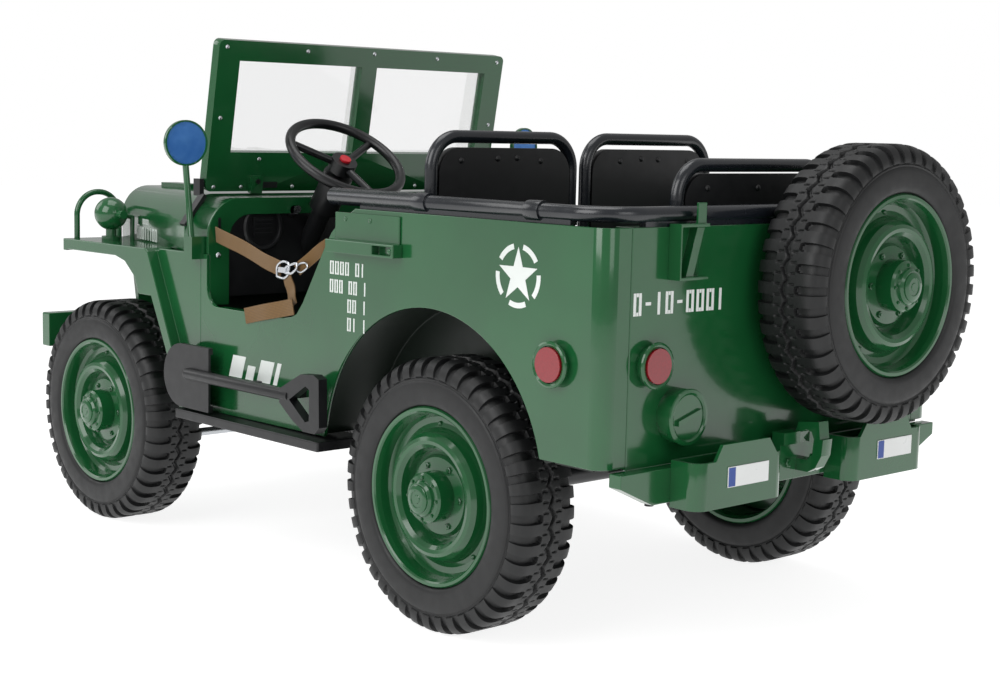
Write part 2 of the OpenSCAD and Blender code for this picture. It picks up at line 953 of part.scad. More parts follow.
module door_strap() {
    x = hw - 22;
    color("#6b5230") {
        flat_bar(x, x + 3, [cowl_y + 3, 504], [rear_y - 370, 463], 24);
        flat_bar(x, x + 3, [rear_y - 350, 468], [rear_y - 262, 510], 22);
        flat_bar(x, x + 3, [rear_y - 363, 448], [rear_y - 345, 400], 22);
        flat_bar(hw + fit, hw + fit + 3, [rear_y - 447, 388], [rear_y - 325, 413], 25);
    }
}

module strap_buckle() {
    x = hw - 19;
    color("#b9bcc0")
        difference() {
            along_x(x, x + 5)
                translate([rear_y - 359, 466])
                    round_rect(-12, -17, 12, 17, 4);
            along_x(x - 1, x + 6)
                translate([rear_y - 359, 466])
                    round_rect(-7, -12, 7, 12, 2);
        }
}

module rear_crossbar() {
    color("#1f5b33")
        difference() {
            along_y(tail_y, bar_y)
                polygon([[-bar_x, 264], [-bar_x, 247], [59 - bar_x, 220], [bar_x - 59, 220],
                    [bar_x, 247], [bar_x, 264]]);
            along_y(tail_y + 5, bar_y - 5)
                polygon([[5 - bar_x, 259], [5 - bar_x, 250], [62 - bar_x, 219], [bar_x - 62, 219],
                    [bar_x - 5, 250], [bar_x - 5, 259]]);
        }
}

// Plan of a bumperette, smaller by g, with both rear corners round.
module bumperette_plan(g) {
    r = 18 - g;
    x0 = 72 + g;
    x1 = 244 - g;
    y0 = bar_y + g;
    y1 = bar_y + 45 - g;
    translate([x0, y0])
        square([x1 - x0, y1 - y0 - r]);
    translate([x0 + r, y0])
        square([x1 - x0 - 2 * r, y1 - y0]);
    for (x = [x0 + r, x1 - r])
        translate([x, y1 - r])
            circle(r);
}

module bumperettes() {
    t = 5;
    color("#1f5b33")
        both() {
            difference() {
                translate([0, 0, 214])
                    linear_extrude(60)
                        bumperette_plan(0);
                translate([0, 0, 214 + t])
                    linear_extrude(60)
                        bumperette_plan(t);
            }
            along_y(bar_y + 45 - t, bar_y + 45)
                polygon([[90, 273], [106, 294], [198, 294], [211, 273]]);
        }
}

module blank_plates() {
    color("#f2f3f2")
        for (x = [108, -210])
            span([x, bar_y + 45, 239], [x + 80, bar_y + 46.5, 265]);
}

module tow_eye() {
    y = hook_y;
    w = hook_w / 2;
    color("#1f5b33") {
        span([-44, bar_y, 226], [44, y, 274]);
        both()
            span([w, bar_y, 273], [44, y + 6, 289]);
        difference() {
            along_x(-w, w)
                polygon([[y - 2, 236], [y + 20, 236], [y + 32, 243], [y + 41, 260],
                    [y + 43, 282], [y + 38, 282], [y + 35, 305], [y + 2, 301], [y - 2, 289]]);
            along_x(-w - 1, w + 1)
                polygon([[y, 252], [y + 18, 252], [y + 26, 260], [y + 28, 281],
                    [y + 24, 290], [y + 15, 293], [y + 6, 288], [y, 272]]);
            translate([0, y + 10, 230])
                cylinder(h = 30, d = eye_d);
        }
    }
}

module socket_drum() {
    color("#1f5b33")
        rod_y([hw - 133, tail_y, 325], 22, 70);
}

module rear_bracket() {
    x0 = hw - 165;
    x1 = hw - 111;
    y = tail_y;
    color("#1f5b33") {
        span([x0, y, 496], [x1, y + 3, 566]);
        span([x1 - 3, y, 496], [x1, y + 20, 566]);
        span([x0, y, 496], [x1, y + 20, 500]);
        span([x0, y, 562], [x1, y + 20, 566]);
        span([x0 + 3, y + 13, 565], [x0 + 19, y + 16, 592]);
        translate([0, y + 3, 0])
            along_y(0, 12)
                polygon([[x0 + 24, 499], [x0 + 38, 499], [x0 + 18, 563], [x0 + 4, 563]]);
    }
}

module spare_carrier() {
    color("#1f5b33") {
        rod_y([spare_x, tail_y, spare_z], spare_y0 + 42 - tail_y, 56);
        rod_y([spare_x, tail_y, spare_z], 11, 130);
        rod_y([spare_x, tail_y, spare_z], spare_y0 + 86 - tail_y, axle_d);
    }
}

module spare_rim() {
    color("#1f5b33")
        at_spare()
            rim_shape();
}

module spare_tyre() {
    color("#222326")
        at_spare()
            tyre_shape();
}

module rim_front_left() {
    color("#1f5b33")
        at_wheel(1, front_y)
            rim_shape();
}

module tyre_front_left() {
    color("#222326")
        at_wheel(1, front_y)
            tyre_shape();
}

module rim_front_right() {
    color("#1f5b33")
        at_wheel(-1, front_y)
            rim_shape();
}

module tyre_front_right() {
    color("#222326")
        at_wheel(-1, front_y)
            tyre_shape();
}

module rim_rear_left() {
    color("#1f5b33")
        at_wheel(1, rear_y)
            rim_shape();
}

module tyre_rear_left() {
    color("#222326")
        at_wheel(1, rear_y)
            tyre_shape();
}

module rim_rear_right() {
    color("#1f5b33")
        at_wheel(-1, rear_y)
            rim_shape();
}

module tyre_rear_right() {
    color("#222326")
        at_wheel(-1, rear_y)
            tyre_shape();
}

chassis_frame();
front_axle();
rear_axle();
rear_motors();
leaf_springs();
battery();
cabin_tub();
arch_liners();
dashboard();
cowl();
side_panels();
tail_panel();
bonnet();
grille();
headlights();
front_fenders();
front_bumper();
side_steps();
body_rail();
front_seats();
front_seat_frames();
rear_seat();
rear_seat_frame();
hinge_brackets();
windscreen_frame();
windscreen_panes();
steering_column();
steering_wheel();
horn_button();
mirrors();
mirror_glass();
fender_lamp();
lamp_guard();
lamp_rings();
lamp_lenses();
side_handles();
shovel();
door_strap();
strap_buckle();
rear_crossbar();
bumperettes();
blank_plates();
tow_eye();
socket_drum();
rear_bracket();
spare_carrier();
spare_rim();
spare_tyre();
knuckle_left();
knuckle_right();
tie_rod();
rim_front_left();
tyre_front_left();
rim_front_right();
tyre_front_right();
rim_rear_left();
tyre_rear_left();
rim_rear_right();
tyre_rear_right();
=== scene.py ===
import json
import math
import bpy
import numpy as np
from mathutils import Matrix, Vector


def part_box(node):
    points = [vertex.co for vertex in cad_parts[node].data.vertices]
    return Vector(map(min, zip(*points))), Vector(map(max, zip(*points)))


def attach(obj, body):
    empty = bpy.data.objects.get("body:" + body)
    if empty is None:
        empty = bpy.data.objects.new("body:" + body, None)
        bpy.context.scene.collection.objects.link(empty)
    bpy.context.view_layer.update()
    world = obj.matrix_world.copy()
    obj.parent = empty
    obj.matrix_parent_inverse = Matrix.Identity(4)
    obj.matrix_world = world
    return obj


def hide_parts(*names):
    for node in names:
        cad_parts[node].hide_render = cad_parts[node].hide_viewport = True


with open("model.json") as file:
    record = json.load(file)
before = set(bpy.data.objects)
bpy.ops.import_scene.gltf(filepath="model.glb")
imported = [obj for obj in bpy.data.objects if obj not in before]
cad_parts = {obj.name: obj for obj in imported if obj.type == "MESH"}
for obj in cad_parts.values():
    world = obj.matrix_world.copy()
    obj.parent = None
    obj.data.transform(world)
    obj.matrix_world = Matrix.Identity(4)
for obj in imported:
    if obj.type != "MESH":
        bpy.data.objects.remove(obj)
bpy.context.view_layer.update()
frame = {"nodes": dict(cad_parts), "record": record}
nodes = frame["nodes"]
print("frame loaded")

mm = 0.001


def corners(name):
    # lowest and highest corner of a node in millimetres
    low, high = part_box(name)
    return np.array(low) / mm, np.array(high) / mm


sideX = corners("side_panels")[1][0]
tailY = corners("tail_panel")[1][1]
cowlY = corners("cowl")[1][1]
jointAt = {joint["name"]: np.array(joint["pos_m"]) / mm
           for joint in frame["record"]["behaviour"]["joints"]}


def linearFromHex(code, alpha=1.0):
    # sRGB hex to linear light
    parts = [int(code[i:i + 2], 16) / 255 for i in (0, 2, 4)]
    return [p / 12.92 if p <= 0.04045 else ((p + 0.055) / 1.055) ** 2.4 for p in parts] + [alpha]


def addNode(tree, kind, settings=None, links=None):
    # adds one node; settings are attributes or sockets, links are socket and source socket
    node = tree.nodes.new(kind)
    for key, value in (settings or {}).items():
        if isinstance(key, str) and hasattr(node, key):
            setattr(node, key, value)
        else:
            node.inputs[key].default_value = value
    for key, source in (links or {}).items():
        tree.links.new(source, node.inputs[key])
    return node


def startMaterial(name, shaderSettings):
    # a material with its shader set, and object coordinates for its textures
    mat = bpy.data.materials.new(name)
    mat.use_nodes = True
    tree = mat.node_tree
    shader = tree.nodes["Principled BSDF"]
    for key, value in shaderSettings.items():
        shader.inputs[key].default_value = value
    coords = addNode(tree, "ShaderNodeTexCoord")
    return mat, tree, shader, coords.outputs["Object"]


def moulded(name, baseHex, deepHex, rough, grain, coat=0.0, grainScale=1200.0, roughVary=0.03,
            specular=0.5):
    # injection moulded plastic or paint: even colour with faint flow clouding, a fine grain
    # left by the mould and gloss that varies a little with handling
    mat, tree, shader, coords = startMaterial(name, {
        "IOR": 1.5, "Coat Weight": coat, "Coat Roughness": 0.07, "Specular IOR Level": specular})
    cloud = addNode(tree, "ShaderNodeTexNoise", {"Scale": 6.0, "Detail": 3.0}, {"Vector": coords})
    spread = addNode(tree, "ShaderNodeMapRange", {"From Min": 0.35, "From Max": 0.65},
                     {"Value": cloud.outputs["Fac"]})
    colour = addNode(tree, "ShaderNodeMix", {"data_type": "RGBA", "A": linearFromHex(baseHex),
                                             "B": linearFromHex(deepHex)},
                     {"Factor": spread.outputs["Result"]})
    tree.links.new(colour.outputs["Result"], shader.inputs["Base Color"])
    wear = addNode(tree, "ShaderNodeTexNoise", {"Scale": 60.0, "Detail": 4.0}, {"Vector": coords})
    gloss = addNode(tree, "ShaderNodeMapRange", {
        "From Min": 0.3, "From Max": 0.7,
        "To Min": rough - roughVary, "To Max": rough + roughVary},
        {"Value": wear.outputs["Fac"]})
    tree.links.new(gloss.outputs["Result"], shader.inputs["Roughness"])
    # grain about 0.8 mm across, coarser than the real 0.1 mm so that it shows
    pebble = addNode(tree, "ShaderNodeTexNoise", {"Scale": grainScale, "Detail": 2.0},
                     {"Vector": coords})
    bump = addNode(tree, "ShaderNodeBump", {"Strength": grain, "Distance": 0.0004},
                   {"Height": pebble.outputs["Fac"]})
    tree.links.new(bump.outputs["Normal"], shader.inputs["Normal"])
    return mat


absGreen = moulded("ABS gloss moulded green", "17562d", "144d28", 0.16, 0.015, coat=0.45)
ppDarkGreen = moulded("PP moulded black green", "0b1a10", "09160d", 0.42, 0.12)
ppBlack = moulded("PP satin moulded black", "131416", "0f1012", 0.4, 0.18, roughVary=0.05)
pvcBlack = moulded("soft PVC grip black", "101113", "0c0d0f", 0.33, 0.1, roughVary=0.04)
evaTyre = moulded("EVA moulded tyre black", "111213", "0e0f10", 0.5, 0.3, grainScale=700.0,
                  roughVary=0.06)
casing = moulded("nylon gear casing black", "131416", "0f1012", 0.5, 0.2)
steelBlack = moulded("powder coated steel black", "141517", "111214", 0.38, 0.25,
                     grainScale=900.0)
steelRail = moulded("powder coated steel gunmetal", "15191f", "12161b", 0.26, 0.08, coat=0.2,
                    specular=0.6)
redButton = moulded("ABS moulded red", "c8202d", "b51b27", 0.25, 0.02)
plateWhite = moulded("PVC plate white", "e6e8e7", "dcdedd", 0.3, 0.02)
vinylWhite = moulded("vinyl stencil white", "e4e8e5", "d3d9d5", 0.4, 0.05)
vinylBlue = moulded("vinyl band blue", "23479a", "1e3f88", 0.35, 0.03)


def plated(name, baseHex, rough):
    # zinc plated steel: bright, with fine drawn streaks that stretch the glints
    mat, tree, shader, coords = startMaterial(name, {"Metallic": 1.0,
                                                     "Base Color": linearFromHex(baseHex)})
    streak = addNode(tree, "ShaderNodeMapping", {"Scale": (300.0, 40.0, 300.0)},
                     {"Vector": coords})
    noise = addNode(tree, "ShaderNodeTexNoise", {"Scale": 3.0, "Detail": 3.0},
                    {"Vector": streak.outputs["Vector"]})
    gloss = addNode(tree, "ShaderNodeMapRange", {"To Min": rough - 0.08, "To Max": rough + 0.1},
                    {"Value": noise.outputs["Fac"]})
    tree.links.new(gloss.outputs["Result"], shader.inputs["Roughness"])
    return mat


zinc = plated("zinc plated steel", "c9ccd0", 0.26)
foil = plated("vacuum metallised reflector", "dfe3e6", 0.14)


def lens(name, baseHex, deepHex, cell, strength):
    # moulded acrylic lens with small prisms behind a smooth face
    mat, tree, shader, coords = startMaterial(name, {"Roughness": 0.14, "IOR": 1.49,
                                                     "Coat Weight": 0.5, "Coat Roughness": 0.05})
    prism = addNode(tree, "ShaderNodeTexVoronoi", {"Scale": 1.0 / cell}, {"Vector": coords})
    colour = addNode(tree, "ShaderNodeMix", {"data_type": "RGBA", "A": linearFromHex(baseHex),
                                             "B": linearFromHex(deepHex)},
                     {"Factor": prism.outputs["Distance"]})
    tree.links.new(colour.outputs["Result"], shader.inputs["Base Color"])
    bump = addNode(tree, "ShaderNodeBump", {"Strength": strength, "Distance": 0.0004},
                   {"Height": prism.outputs["Distance"]})
    tree.links.new(bump.outputs["Normal"], shader.inputs["Normal"])
    return mat


redAcrylic = lens("acrylic lens red", "8c1420", "7c101a", 0.003, 0.08)
clearAcrylic = lens("acrylic lens clear", "d8dde1", "bcc4ca", 0.006, 0.25)


def clearSheet():
    # polycarbonate sheet, clear with a slight cool tint and a faint haze
    mat, tree, shader, coords = startMaterial("polycarbonate sheet clear", {
        "Base Color": linearFromHex("f6f8f9"), "IOR": 1.45, "Transmission Weight": 1.0,
        "Alpha": 0.22})
    haze = addNode(tree, "ShaderNodeTexNoise", {"Scale": 9.0, "Detail": 3.0}, {"Vector": coords})
    gloss = addNode(tree, "ShaderNodeMapRange", {"To Min": 0.02, "To Max": 0.06},
                    {"Value": haze.outputs["Fac"]})
    tree.links.new(gloss.outputs["Result"], shader.inputs["Roughness"])
    return mat


def mirrorFoil():
    # blue mirror foil on a slightly wavy backing, its blue mixed with a lighter blue along the
    # waves: painted reflection
    mat, tree, shader, coords = startMaterial("mirror foil blue painted reflection", {"Metallic": 0.35,
                                                                   "Roughness": 0.16})
    wave = addNode(tree, "ShaderNodeTexNoise", {"Scale": 45.0, "Detail": 2.0}, {"Vector": coords})
    # lighter blue where the waves rise is painted reflection, not the foil's own colour
    colour = addNode(tree, "ShaderNodeMix", {"data_type": "RGBA", "A": linearFromHex("2f69b8"),
                                             "B": linearFromHex("5a94d8")},
                     {"Factor": wave.outputs["Fac"]})
    tree.links.new(colour.outputs["Result"], shader.inputs["Base Color"])
    bump = addNode(tree, "ShaderNodeBump", {"Strength": 0.3, "Distance": 0.002},
                   {"Height": wave.outputs["Fac"]})
    tree.links.new(bump.outputs["Normal"], shader.inputs["Normal"])
    return mat


def webbingCloth():
    # woven cotton webbing: ribs across the strap, drawn 3 mm apart and coarser than the real
    # 1.2 mm so that they show, crossed by a finer yarn; the colour darkens in the weave's hollows,
    # painted shade
    mat, tree, shader = startMaterial("cotton webbing tan", {"Roughness": 0.85,
                                                             "Sheen Weight": 0.25})[:3]
    weave = addNode(tree, "ShaderNodeUVMap", {"uv_map": "weave"})
    rib = addNode(tree, "ShaderNodeTexWave", {
        "wave_type": "BANDS", "bands_direction": "Y", "Scale": 105.0, "Distortion": 0.6,
        "Detail": 1.0}, {"Vector": weave.outputs["UV"]})
    yarn = addNode(tree, "ShaderNodeTexWave", {
        "wave_type": "BANDS", "bands_direction": "X", "Scale": 140.0, "Distortion": 0.4,
        "Detail": 1.0}, {"Vector": weave.outputs["UV"]})
    crossed = addNode(tree, "ShaderNodeMath", {"operation": "MULTIPLY"},
                      {0: rib.outputs["Fac"], 1: yarn.outputs["Fac"]})
    # tan painted darker where the weave is low: painted shade in its hollows, laid on the real
    # weave pattern
    colour = addNode(tree, "ShaderNodeMix", {"data_type": "RGBA", "A": linearFromHex("5a3f17"),
                                             "B": linearFromHex("8a6426")},
                     {"Factor": crossed.outputs["Value"]})
    tree.links.new(colour.outputs["Result"], shader.inputs["Base Color"])
    bump = addNode(tree, "ShaderNodeBump", {"Strength": 0.5, "Distance": 0.0006},
                   {"Height": crossed.outputs["Value"]})
    tree.links.new(bump.outputs["Normal"], shader.inputs["Normal"])
    return mat


def floorPaper():
    # seamless studio paper, matt white and evenly lit
    mat, tree, shader, coords = startMaterial("studio paper white", {
        "Roughness": 0.95, "Emission Color": (1, 1, 1, 1), "Emission Strength": 0.86,
        "Specular IOR Level": 0.1})
    fleck = addNode(tree, "ShaderNodeTexNoise", {"Scale": 2.0, "Detail": 2.0}, {"Vector": coords})
    colour = addNode(tree, "ShaderNodeMix", {"data_type": "RGBA", "A": linearFromHex("b4b4b4"),
                                             "B": linearFromHex("b0b0b0")},
                     {"Factor": fleck.outputs["Fac"]})
    tree.links.new(colour.outputs["Result"], shader.inputs["Base Color"])
    return mat


clearScreen = clearSheet()
mirrorBlue = mirrorFoil()
webbingTan = webbingCloth()
studioPaper = floorPaper()
print("materials made")


def gridQuads(rows, cols, closeRows=False, closeCols=False, start=0):
    # quads between neighbours of a rows by cols grid of points, joined round where asked
    row = np.arange(rows if closeRows else rows - 1)
    col = np.arange(cols if closeCols else cols - 1)
    r, c = np.meshgrid(row, col, indexing="ij")
    r2, c2 = (r + 1) % rows, (c + 1) % cols
    quads = np.stack([r * cols + c, r2 * cols + c, r2 * cols + c2, r * cols + c2], -1)
    return quads.reshape(-1, 4) + start


def facesOut(points, faces):
    # turns one closed shape's faces outward: the sum of corner triple products is its volume
    middle = points.mean(0)
    rows = [(f[0], f[k], f[k + 1]) for f in faces for k in range(1, len(f) - 1)]
    a, b, c = (points[[row[k] for row in rows]] - middle for k in range(3))
    volume = np.einsum("ij,ij->i", a, np.cross(b, c)).sum()
    return faces if volume > 0 else [f[::-1] for f in faces]


def makePiece(name, shapes, material, body, sharp=35.0):
    # joins closed shapes, each points in millimetres and faces, into one piece on a body
    points, faces, count = [], [], 0
    for shapePoints, shapeFaces in shapes:
        shapePoints = np.asarray(shapePoints, float).reshape(-1, 3)
        rows = shapeFaces.tolist() if isinstance(shapeFaces, np.ndarray) else shapeFaces
        faces += [[i + count for i in f] for f in facesOut(shapePoints, rows)]
        points.append(shapePoints)
        count += len(shapePoints)
    mesh = bpy.data.meshes.new(name)
    mesh.from_pydata((np.concatenate(points) * mm).tolist(), [], faces)
    mesh.shade_smooth()
    mesh.set_sharp_from_angle(angle=math.radians(sharp))
    mesh.materials.append(material)
    piece = bpy.data.objects.new(name, mesh)
    bpy.context.collection.objects.link(piece)
    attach(piece, body)
    return piece


def planeAxes(normal):
    # two unit vectors across a direction, the second as near to up as can be
    n = np.asarray(normal, float)
    n = n / np.linalg.norm(n)
    hint = np.array([0, 1.0, 0]) if abs(n[2]) > 0.95 else np.array([0, 0, 1.0])
    a = np.cross(hint, n)
    a /= np.linalg.norm(a)
    return a, np.cross(n, a), n


def lathe(profile, centre, axis, steps, turn=0.0):
    # point = centre + radius * (cos, sin) of the angle across the axis + height * axis,
    # for a profile of (radius, height) rows; rows at radius 0 close the ends
    a, b, n = planeAxes(axis)
    profile = np.asarray(profile, float)
    angle = np.linspace(0, 2 * np.pi, steps, endpoint=False) + turn
    ring = np.cos(angle)[:, None] * a + np.sin(angle)[:, None] * b
    wall = profile[profile[:, 0] > 1e-9]
    points = (np.asarray(centre, float) + wall[:, None, 0, None] * ring[None]
              + wall[:, None, 1, None] * n).reshape(-1, 3)
    closed = profile[0, 0] > 1e-9 and profile[-1, 0] > 1e-9
    faces = gridQuads(len(wall), steps, closeRows=closed, closeCols=True).tolist()
    if not closed:
        last = (len(wall) - 1) * steps
        faces.append(list(range(steps))[::-1])
        faces.append(list(range(last, last + steps)))
    return points, faces


def slab(outline, origin, right, up, low, high):
    # a flat outline carried from low to high along its normal: the normal is right cross up
    outline = np.asarray(outline, float)
    right, up = np.asarray(right, float), np.asarray(up, float)
    flat = np.asarray(origin, float) + outline[:, :1] * right + outline[:, 1:] * up
    n = np.cross(right, up)
    points = np.vstack([flat + n * low, flat + n * high])
    count = len(outline)
    faces = gridQuads(2, count, closeCols=True).tolist()
    faces.append(list(range(count))[::-1])
    faces.append(list(range(count, 2 * count)))
    return points, faces


def screwHead(centre, axis, radius, height, steps=16):
    # low dome: radius times the cosine, height times the sine of the slope angle
    slope = np.linspace(0, np.pi / 2 * 0.8, 4)
    rows = np.column_stack([radius * np.cos(slope), height * np.sin(slope)])
    return lathe(np.vstack([[0, -0.6], [radius, -0.6], rows, [0, height * 0.97]]), centre, axis,
                 steps)


def hexNut(centre, axis, radius, height, turn=0.0):
    # six flats up to three quarters of the height, a bevel to 0.82 of the radius, and the
    # bolt's end standing 0.35 of the height above it
    return lathe([[0, -0.5], [radius, -0.5], [radius, height * 0.75], [radius * 0.82, height],
                  [radius * 0.45, height], [radius * 0.45, height * 1.35], [0, height * 1.35]],
                 centre, axis, 6, turn)


def evenPath(knots, count):
    # Catmull-Rom curve through the knots: 0.5 (2 b + (c - a) t + (2a - 5b + 4c - d) t2
    # + (3b - a - 3c + d) t3), then spaced evenly along its length
    k = np.asarray(knots, float)
    k = np.vstack([2 * k[0] - k[1], k, 2 * k[-1] - k[-2]])
    t = np.linspace(0, 1, 24, endpoint=False)[None, :, None]
    a, b, c, d = (k[i:len(k) - 3 + i, None] for i in range(4))
    curve = 0.5 * (2 * b + (c - a) * t + (2 * a - 5 * b + 4 * c - d) * t ** 2
                   + (3 * b - a - 3 * c + d) * t ** 3)
    curve = np.vstack([curve.reshape(-1, k.shape[1]), k[-2][None]])
    step = np.linalg.norm(np.diff(curve[:, :3], axis=0), axis=1)
    reach = np.concatenate([[0], np.cumsum(step)])
    even = np.linspace(0, reach[-1], count)
    return np.stack([np.interp(even, reach, col) for col in curve.T], 1), reach[-1]


tyre = {
    "lugs": 42, "outer": 186.5, "width": 105.0,
    # slot: half width and edge as shares of a pitch, end and its rounding in from the side,
    # and its depth at the side as a share of a lug
    "slotHalf": 0.2, "slotEdge": 0.025, "slotEnd": 36.0, "slotRound": 8.0, "slotShallow": 0.55,
    # groove: swing, half width and edge in millimetres, and its depth as a share of a lug
    "zigzag": 4.0, "grooveHalf": 2.4, "grooveEdge": 1.2, "grooveCut": 0.8,
    # sipe: half width and edge as shares of a pitch, where it runs, and its depth
    "sipeHalf": 0.06, "sipeEdge": 0.03, "sipeFrom": 37, "sipeTo": 45, "sipeCut": 0.35,
    # lug height for each radius of the outline, and where a lug pitch is divided
    "riseAt": [160.6, 161.8, 172, 177.4, 180.1, 181], "rise": [0, 2.4, 4.4, 5.7, 6.2, 6.2],
    "phases": [0, 0.09, 0.17, 0.2, 0.225, 0.275, 0.3, 0.33, 0.41, 0.5],
}
# half of the tyre's outline as (radius, distance in from the side), mirrored for the other half
tyreOutline = np.array([
    (117.2, 22), (117.6, 16), (120.2, 11.5), (122.6, 6), (124.0, 3.4), (127, 1.6), (131, 0.9),
    (138, 0.5), (146, 0.5), (152, 0.9), (155.6, 1.6), (156.8, 2.9), (158.2, 2.9), (159.2, 2.2),
    (160.6, 3.6), (161.6, 3.9), (164, 4.3), (168, 5.3), (172, 7.0), (175, 9.2), (177.4, 12.2),
    (179, 15.4), (180.0, 19.0), (180.3, 24), (180.3, 28), (180.3, 30.5), (180.3, 32.5),
    (180.3, 34), (180.3, 35.2), (180.3, 36.2), (180.3, 38), (180.3, 41), (180.3, 44),
    (180.3, 46.4), (180.3, 47.6), (180.3, 49), (180.3, 50.4), (180.3, 51.6)])


def tyreGrid():
    # radius and width of each point = outline + normal * lug height * (1 - cut), where the
    # cut is a shoulder slot half a pitch apart on the two sides, a zigzag groove and a sipe
    half, w = tyreOutline, tyre["width"]
    rise = np.interp(half[:, 0] + half[:, 1] * 1e-3, tyre["riseAt"], tyre["rise"])
    outline = np.vstack([half, np.column_stack([half[::-1, 0], w - half[::-1, 1]])])
    lift = np.concatenate([rise, rise[::-1]])[:, None]
    side = np.repeat([0.0, 1.0], len(half))[:, None]
    depth = np.concatenate([half[:, 1], half[::-1, 1]])[:, None]
    along = np.gradient(outline, axis=0)
    along /= np.linalg.norm(along, axis=1, keepdims=True)
    phases = np.array(tyre["phases"])
    phases = np.concatenate([phases, 1 - phases[-2:0:-1]])
    phase = (np.arange(tyre["lugs"])[:, None] + phases[None]).ravel()[None, :]
    local = np.abs((phase + side * 0.5 + 0.5) % 1 - 0.5)
    reach = np.clip((depth - tyre["slotEnd"] + tyre["slotRound"]) / tyre["slotRound"], 0, 1)
    room = tyre["slotHalf"] * np.sqrt(1 - reach ** 2) + 1e-6
    slot = np.clip((room + tyre["slotEdge"] - local) / tyre["slotEdge"], 0, 1) * (reach < 1)
    fade = np.clip((depth - 2) / 4, 0.0, 1) * (1 - tyre["slotShallow"]) + tyre["slotShallow"]
    zigzag = tyre["zigzag"] * (np.abs((phase % 1) * 2 - 1) * 2 - 1)
    offGroove = np.abs(outline[:, 1:] - w / 2 - zigzag)
    edge = tyre["grooveEdge"]
    groove = np.clip((tyre["grooveHalf"] + edge - offGroove) / edge, 0, 1)
    sipe = np.clip((tyre["sipeHalf"] - np.abs(local - 0.25)) / tyre["sipeEdge"], 0, 1)
    sipe = sipe * ((depth > tyre["sipeFrom"]) & (depth < tyre["sipeTo"]))
    cut = np.maximum(np.maximum(slot * fade, groove * tyre["grooveCut"]), sipe * tyre["sipeCut"])
    height = lift * (1 - cut)
    radius = outline[:, :1] + along[:, 1:] * height
    across = outline[:, 1:] - along[:, :1] * height
    angle = phase / tyre["lugs"] * 2 * np.pi
    return (np.minimum(radius, tyre["outer"]), np.clip(across, 0.05, w - 0.05),
            np.broadcast_to(angle, radius.shape))


radius, across, angle = tyreGrid()
tyreFaces = gridQuads(*radius.shape, closeRows=True, closeCols=True)
wheels = {}
for end in ("front", "rear"):
    for sideName, side in (("left", 1), ("right", -1)):
        low, high = corners(f"tyre_{end}_{sideName}")
        inner = low[0] if side > 0 else high[0]
        middle = (low + high) / 2
        wheels[f"{end}_{sideName}"] = {
            "node": f"tyre_{end}_{sideName}", "body": f"wheel_{end}_{sideName}",
            "origin": np.array([inner, middle[1], middle[2]]), "axis": np.array([side, 0.0, 0.0])}
low, high = corners("spare_tyre")
wheels["spare"] = {"node": "spare_tyre", "body": "car",
                   "origin": np.array([(low[0] + high[0]) / 2, low[1], (low[2] + high[2]) / 2]),
                   "axis": np.array([0.0, 1.0, 0.0])}
for name, wheel in wheels.items():
    a, b, n = planeAxes(wheel["axis"])
    points = (wheel["origin"] + across[..., None] * n
              + radius[..., None] * (np.sin(angle)[..., None] * a + np.cos(angle)[..., None] * b))
    piece = makePiece(f"tread_{name}", [(points, tyreFaces)], evaTyre, wheel["body"], 40)
    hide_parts(wheel["node"])
print("tyres made")

hub = {
    # how many, the circle's radius and its height from the inner side, then each one's size
    "flangeBolts": 6, "flangeRadius": 44.0, "flangeHeight": 84.6, "bolt": (4.6, 3.2),
    "valleyRivets": 5, "valleyRadius": 96.5, "valleyHeight": 76.2, "rivet": (3.4, 2.4),
    "capNuts": 8, "capRadius": 28.4, "capHeight": 112.4, "nut": (2.6, 2.0), "capTop": 15,
    "capDisc": [[0, -1], [19, -1], [19, 1.2], [17, 2.4], [12, 2.8], [11, 1.6], [6, 1.6],
                [5, 2.6], [0, 2.8]],
}


def around(wheel, count, radius, height, turn=0.0):
    # count points on a circle across the wheel's axis, at a height along it
    a, b, n = planeAxes(wheel["axis"])
    angle = np.arange(count) / count * 2 * np.pi + turn
    return (wheel["origin"] + n * height
            + radius * (np.cos(angle)[:, None] * a + np.sin(angle)[:, None] * b))


for name, wheel in wheels.items():
    axis = wheel["axis"]
    bolts = [hexNut(at, axis, *hub["bolt"], 0.3) for at in
             around(wheel, hub["flangeBolts"], hub["flangeRadius"], hub["flangeHeight"])]
    bolts += [screwHead(at, axis, *hub["rivet"], 14) for at in
              around(wheel, hub["valleyRivets"], hub["valleyRadius"], hub["valleyHeight"], 0.4)]
    bolts += [hexNut(at, axis, *hub["nut"]) for at in
              around(wheel, hub["capNuts"], hub["capRadius"], hub["capHeight"])]
    centre = wheel["origin"] + axis * (tyre["width"] + hub["capTop"])
    bolts.append(lathe(hub["capDisc"], centre, axis, 36))
    makePiece(f"hub_bolts_{name}", bolts, absGreen, wheel["body"])
print("hub bolts made")

upZ = np.array([0, 0, 1.0])


def sideFrame(side):
    # reading direction and up direction on a body side; right cross up points outward
    return np.array([0, float(side), 0]), upZ


# a mark's thickness, a sign's share of its pitch, and the bridge that cuts a zero
mark = {"low": -0.1, "high": 0.35, "share": 0.74, "bridge": 0.8}
star = {"y": 485.0, "z": 494.0, "ringOut": 41.0, "ringIn": 34.0, "tip": 36.5, "notch": 14.2,
        "gap": 13.0}


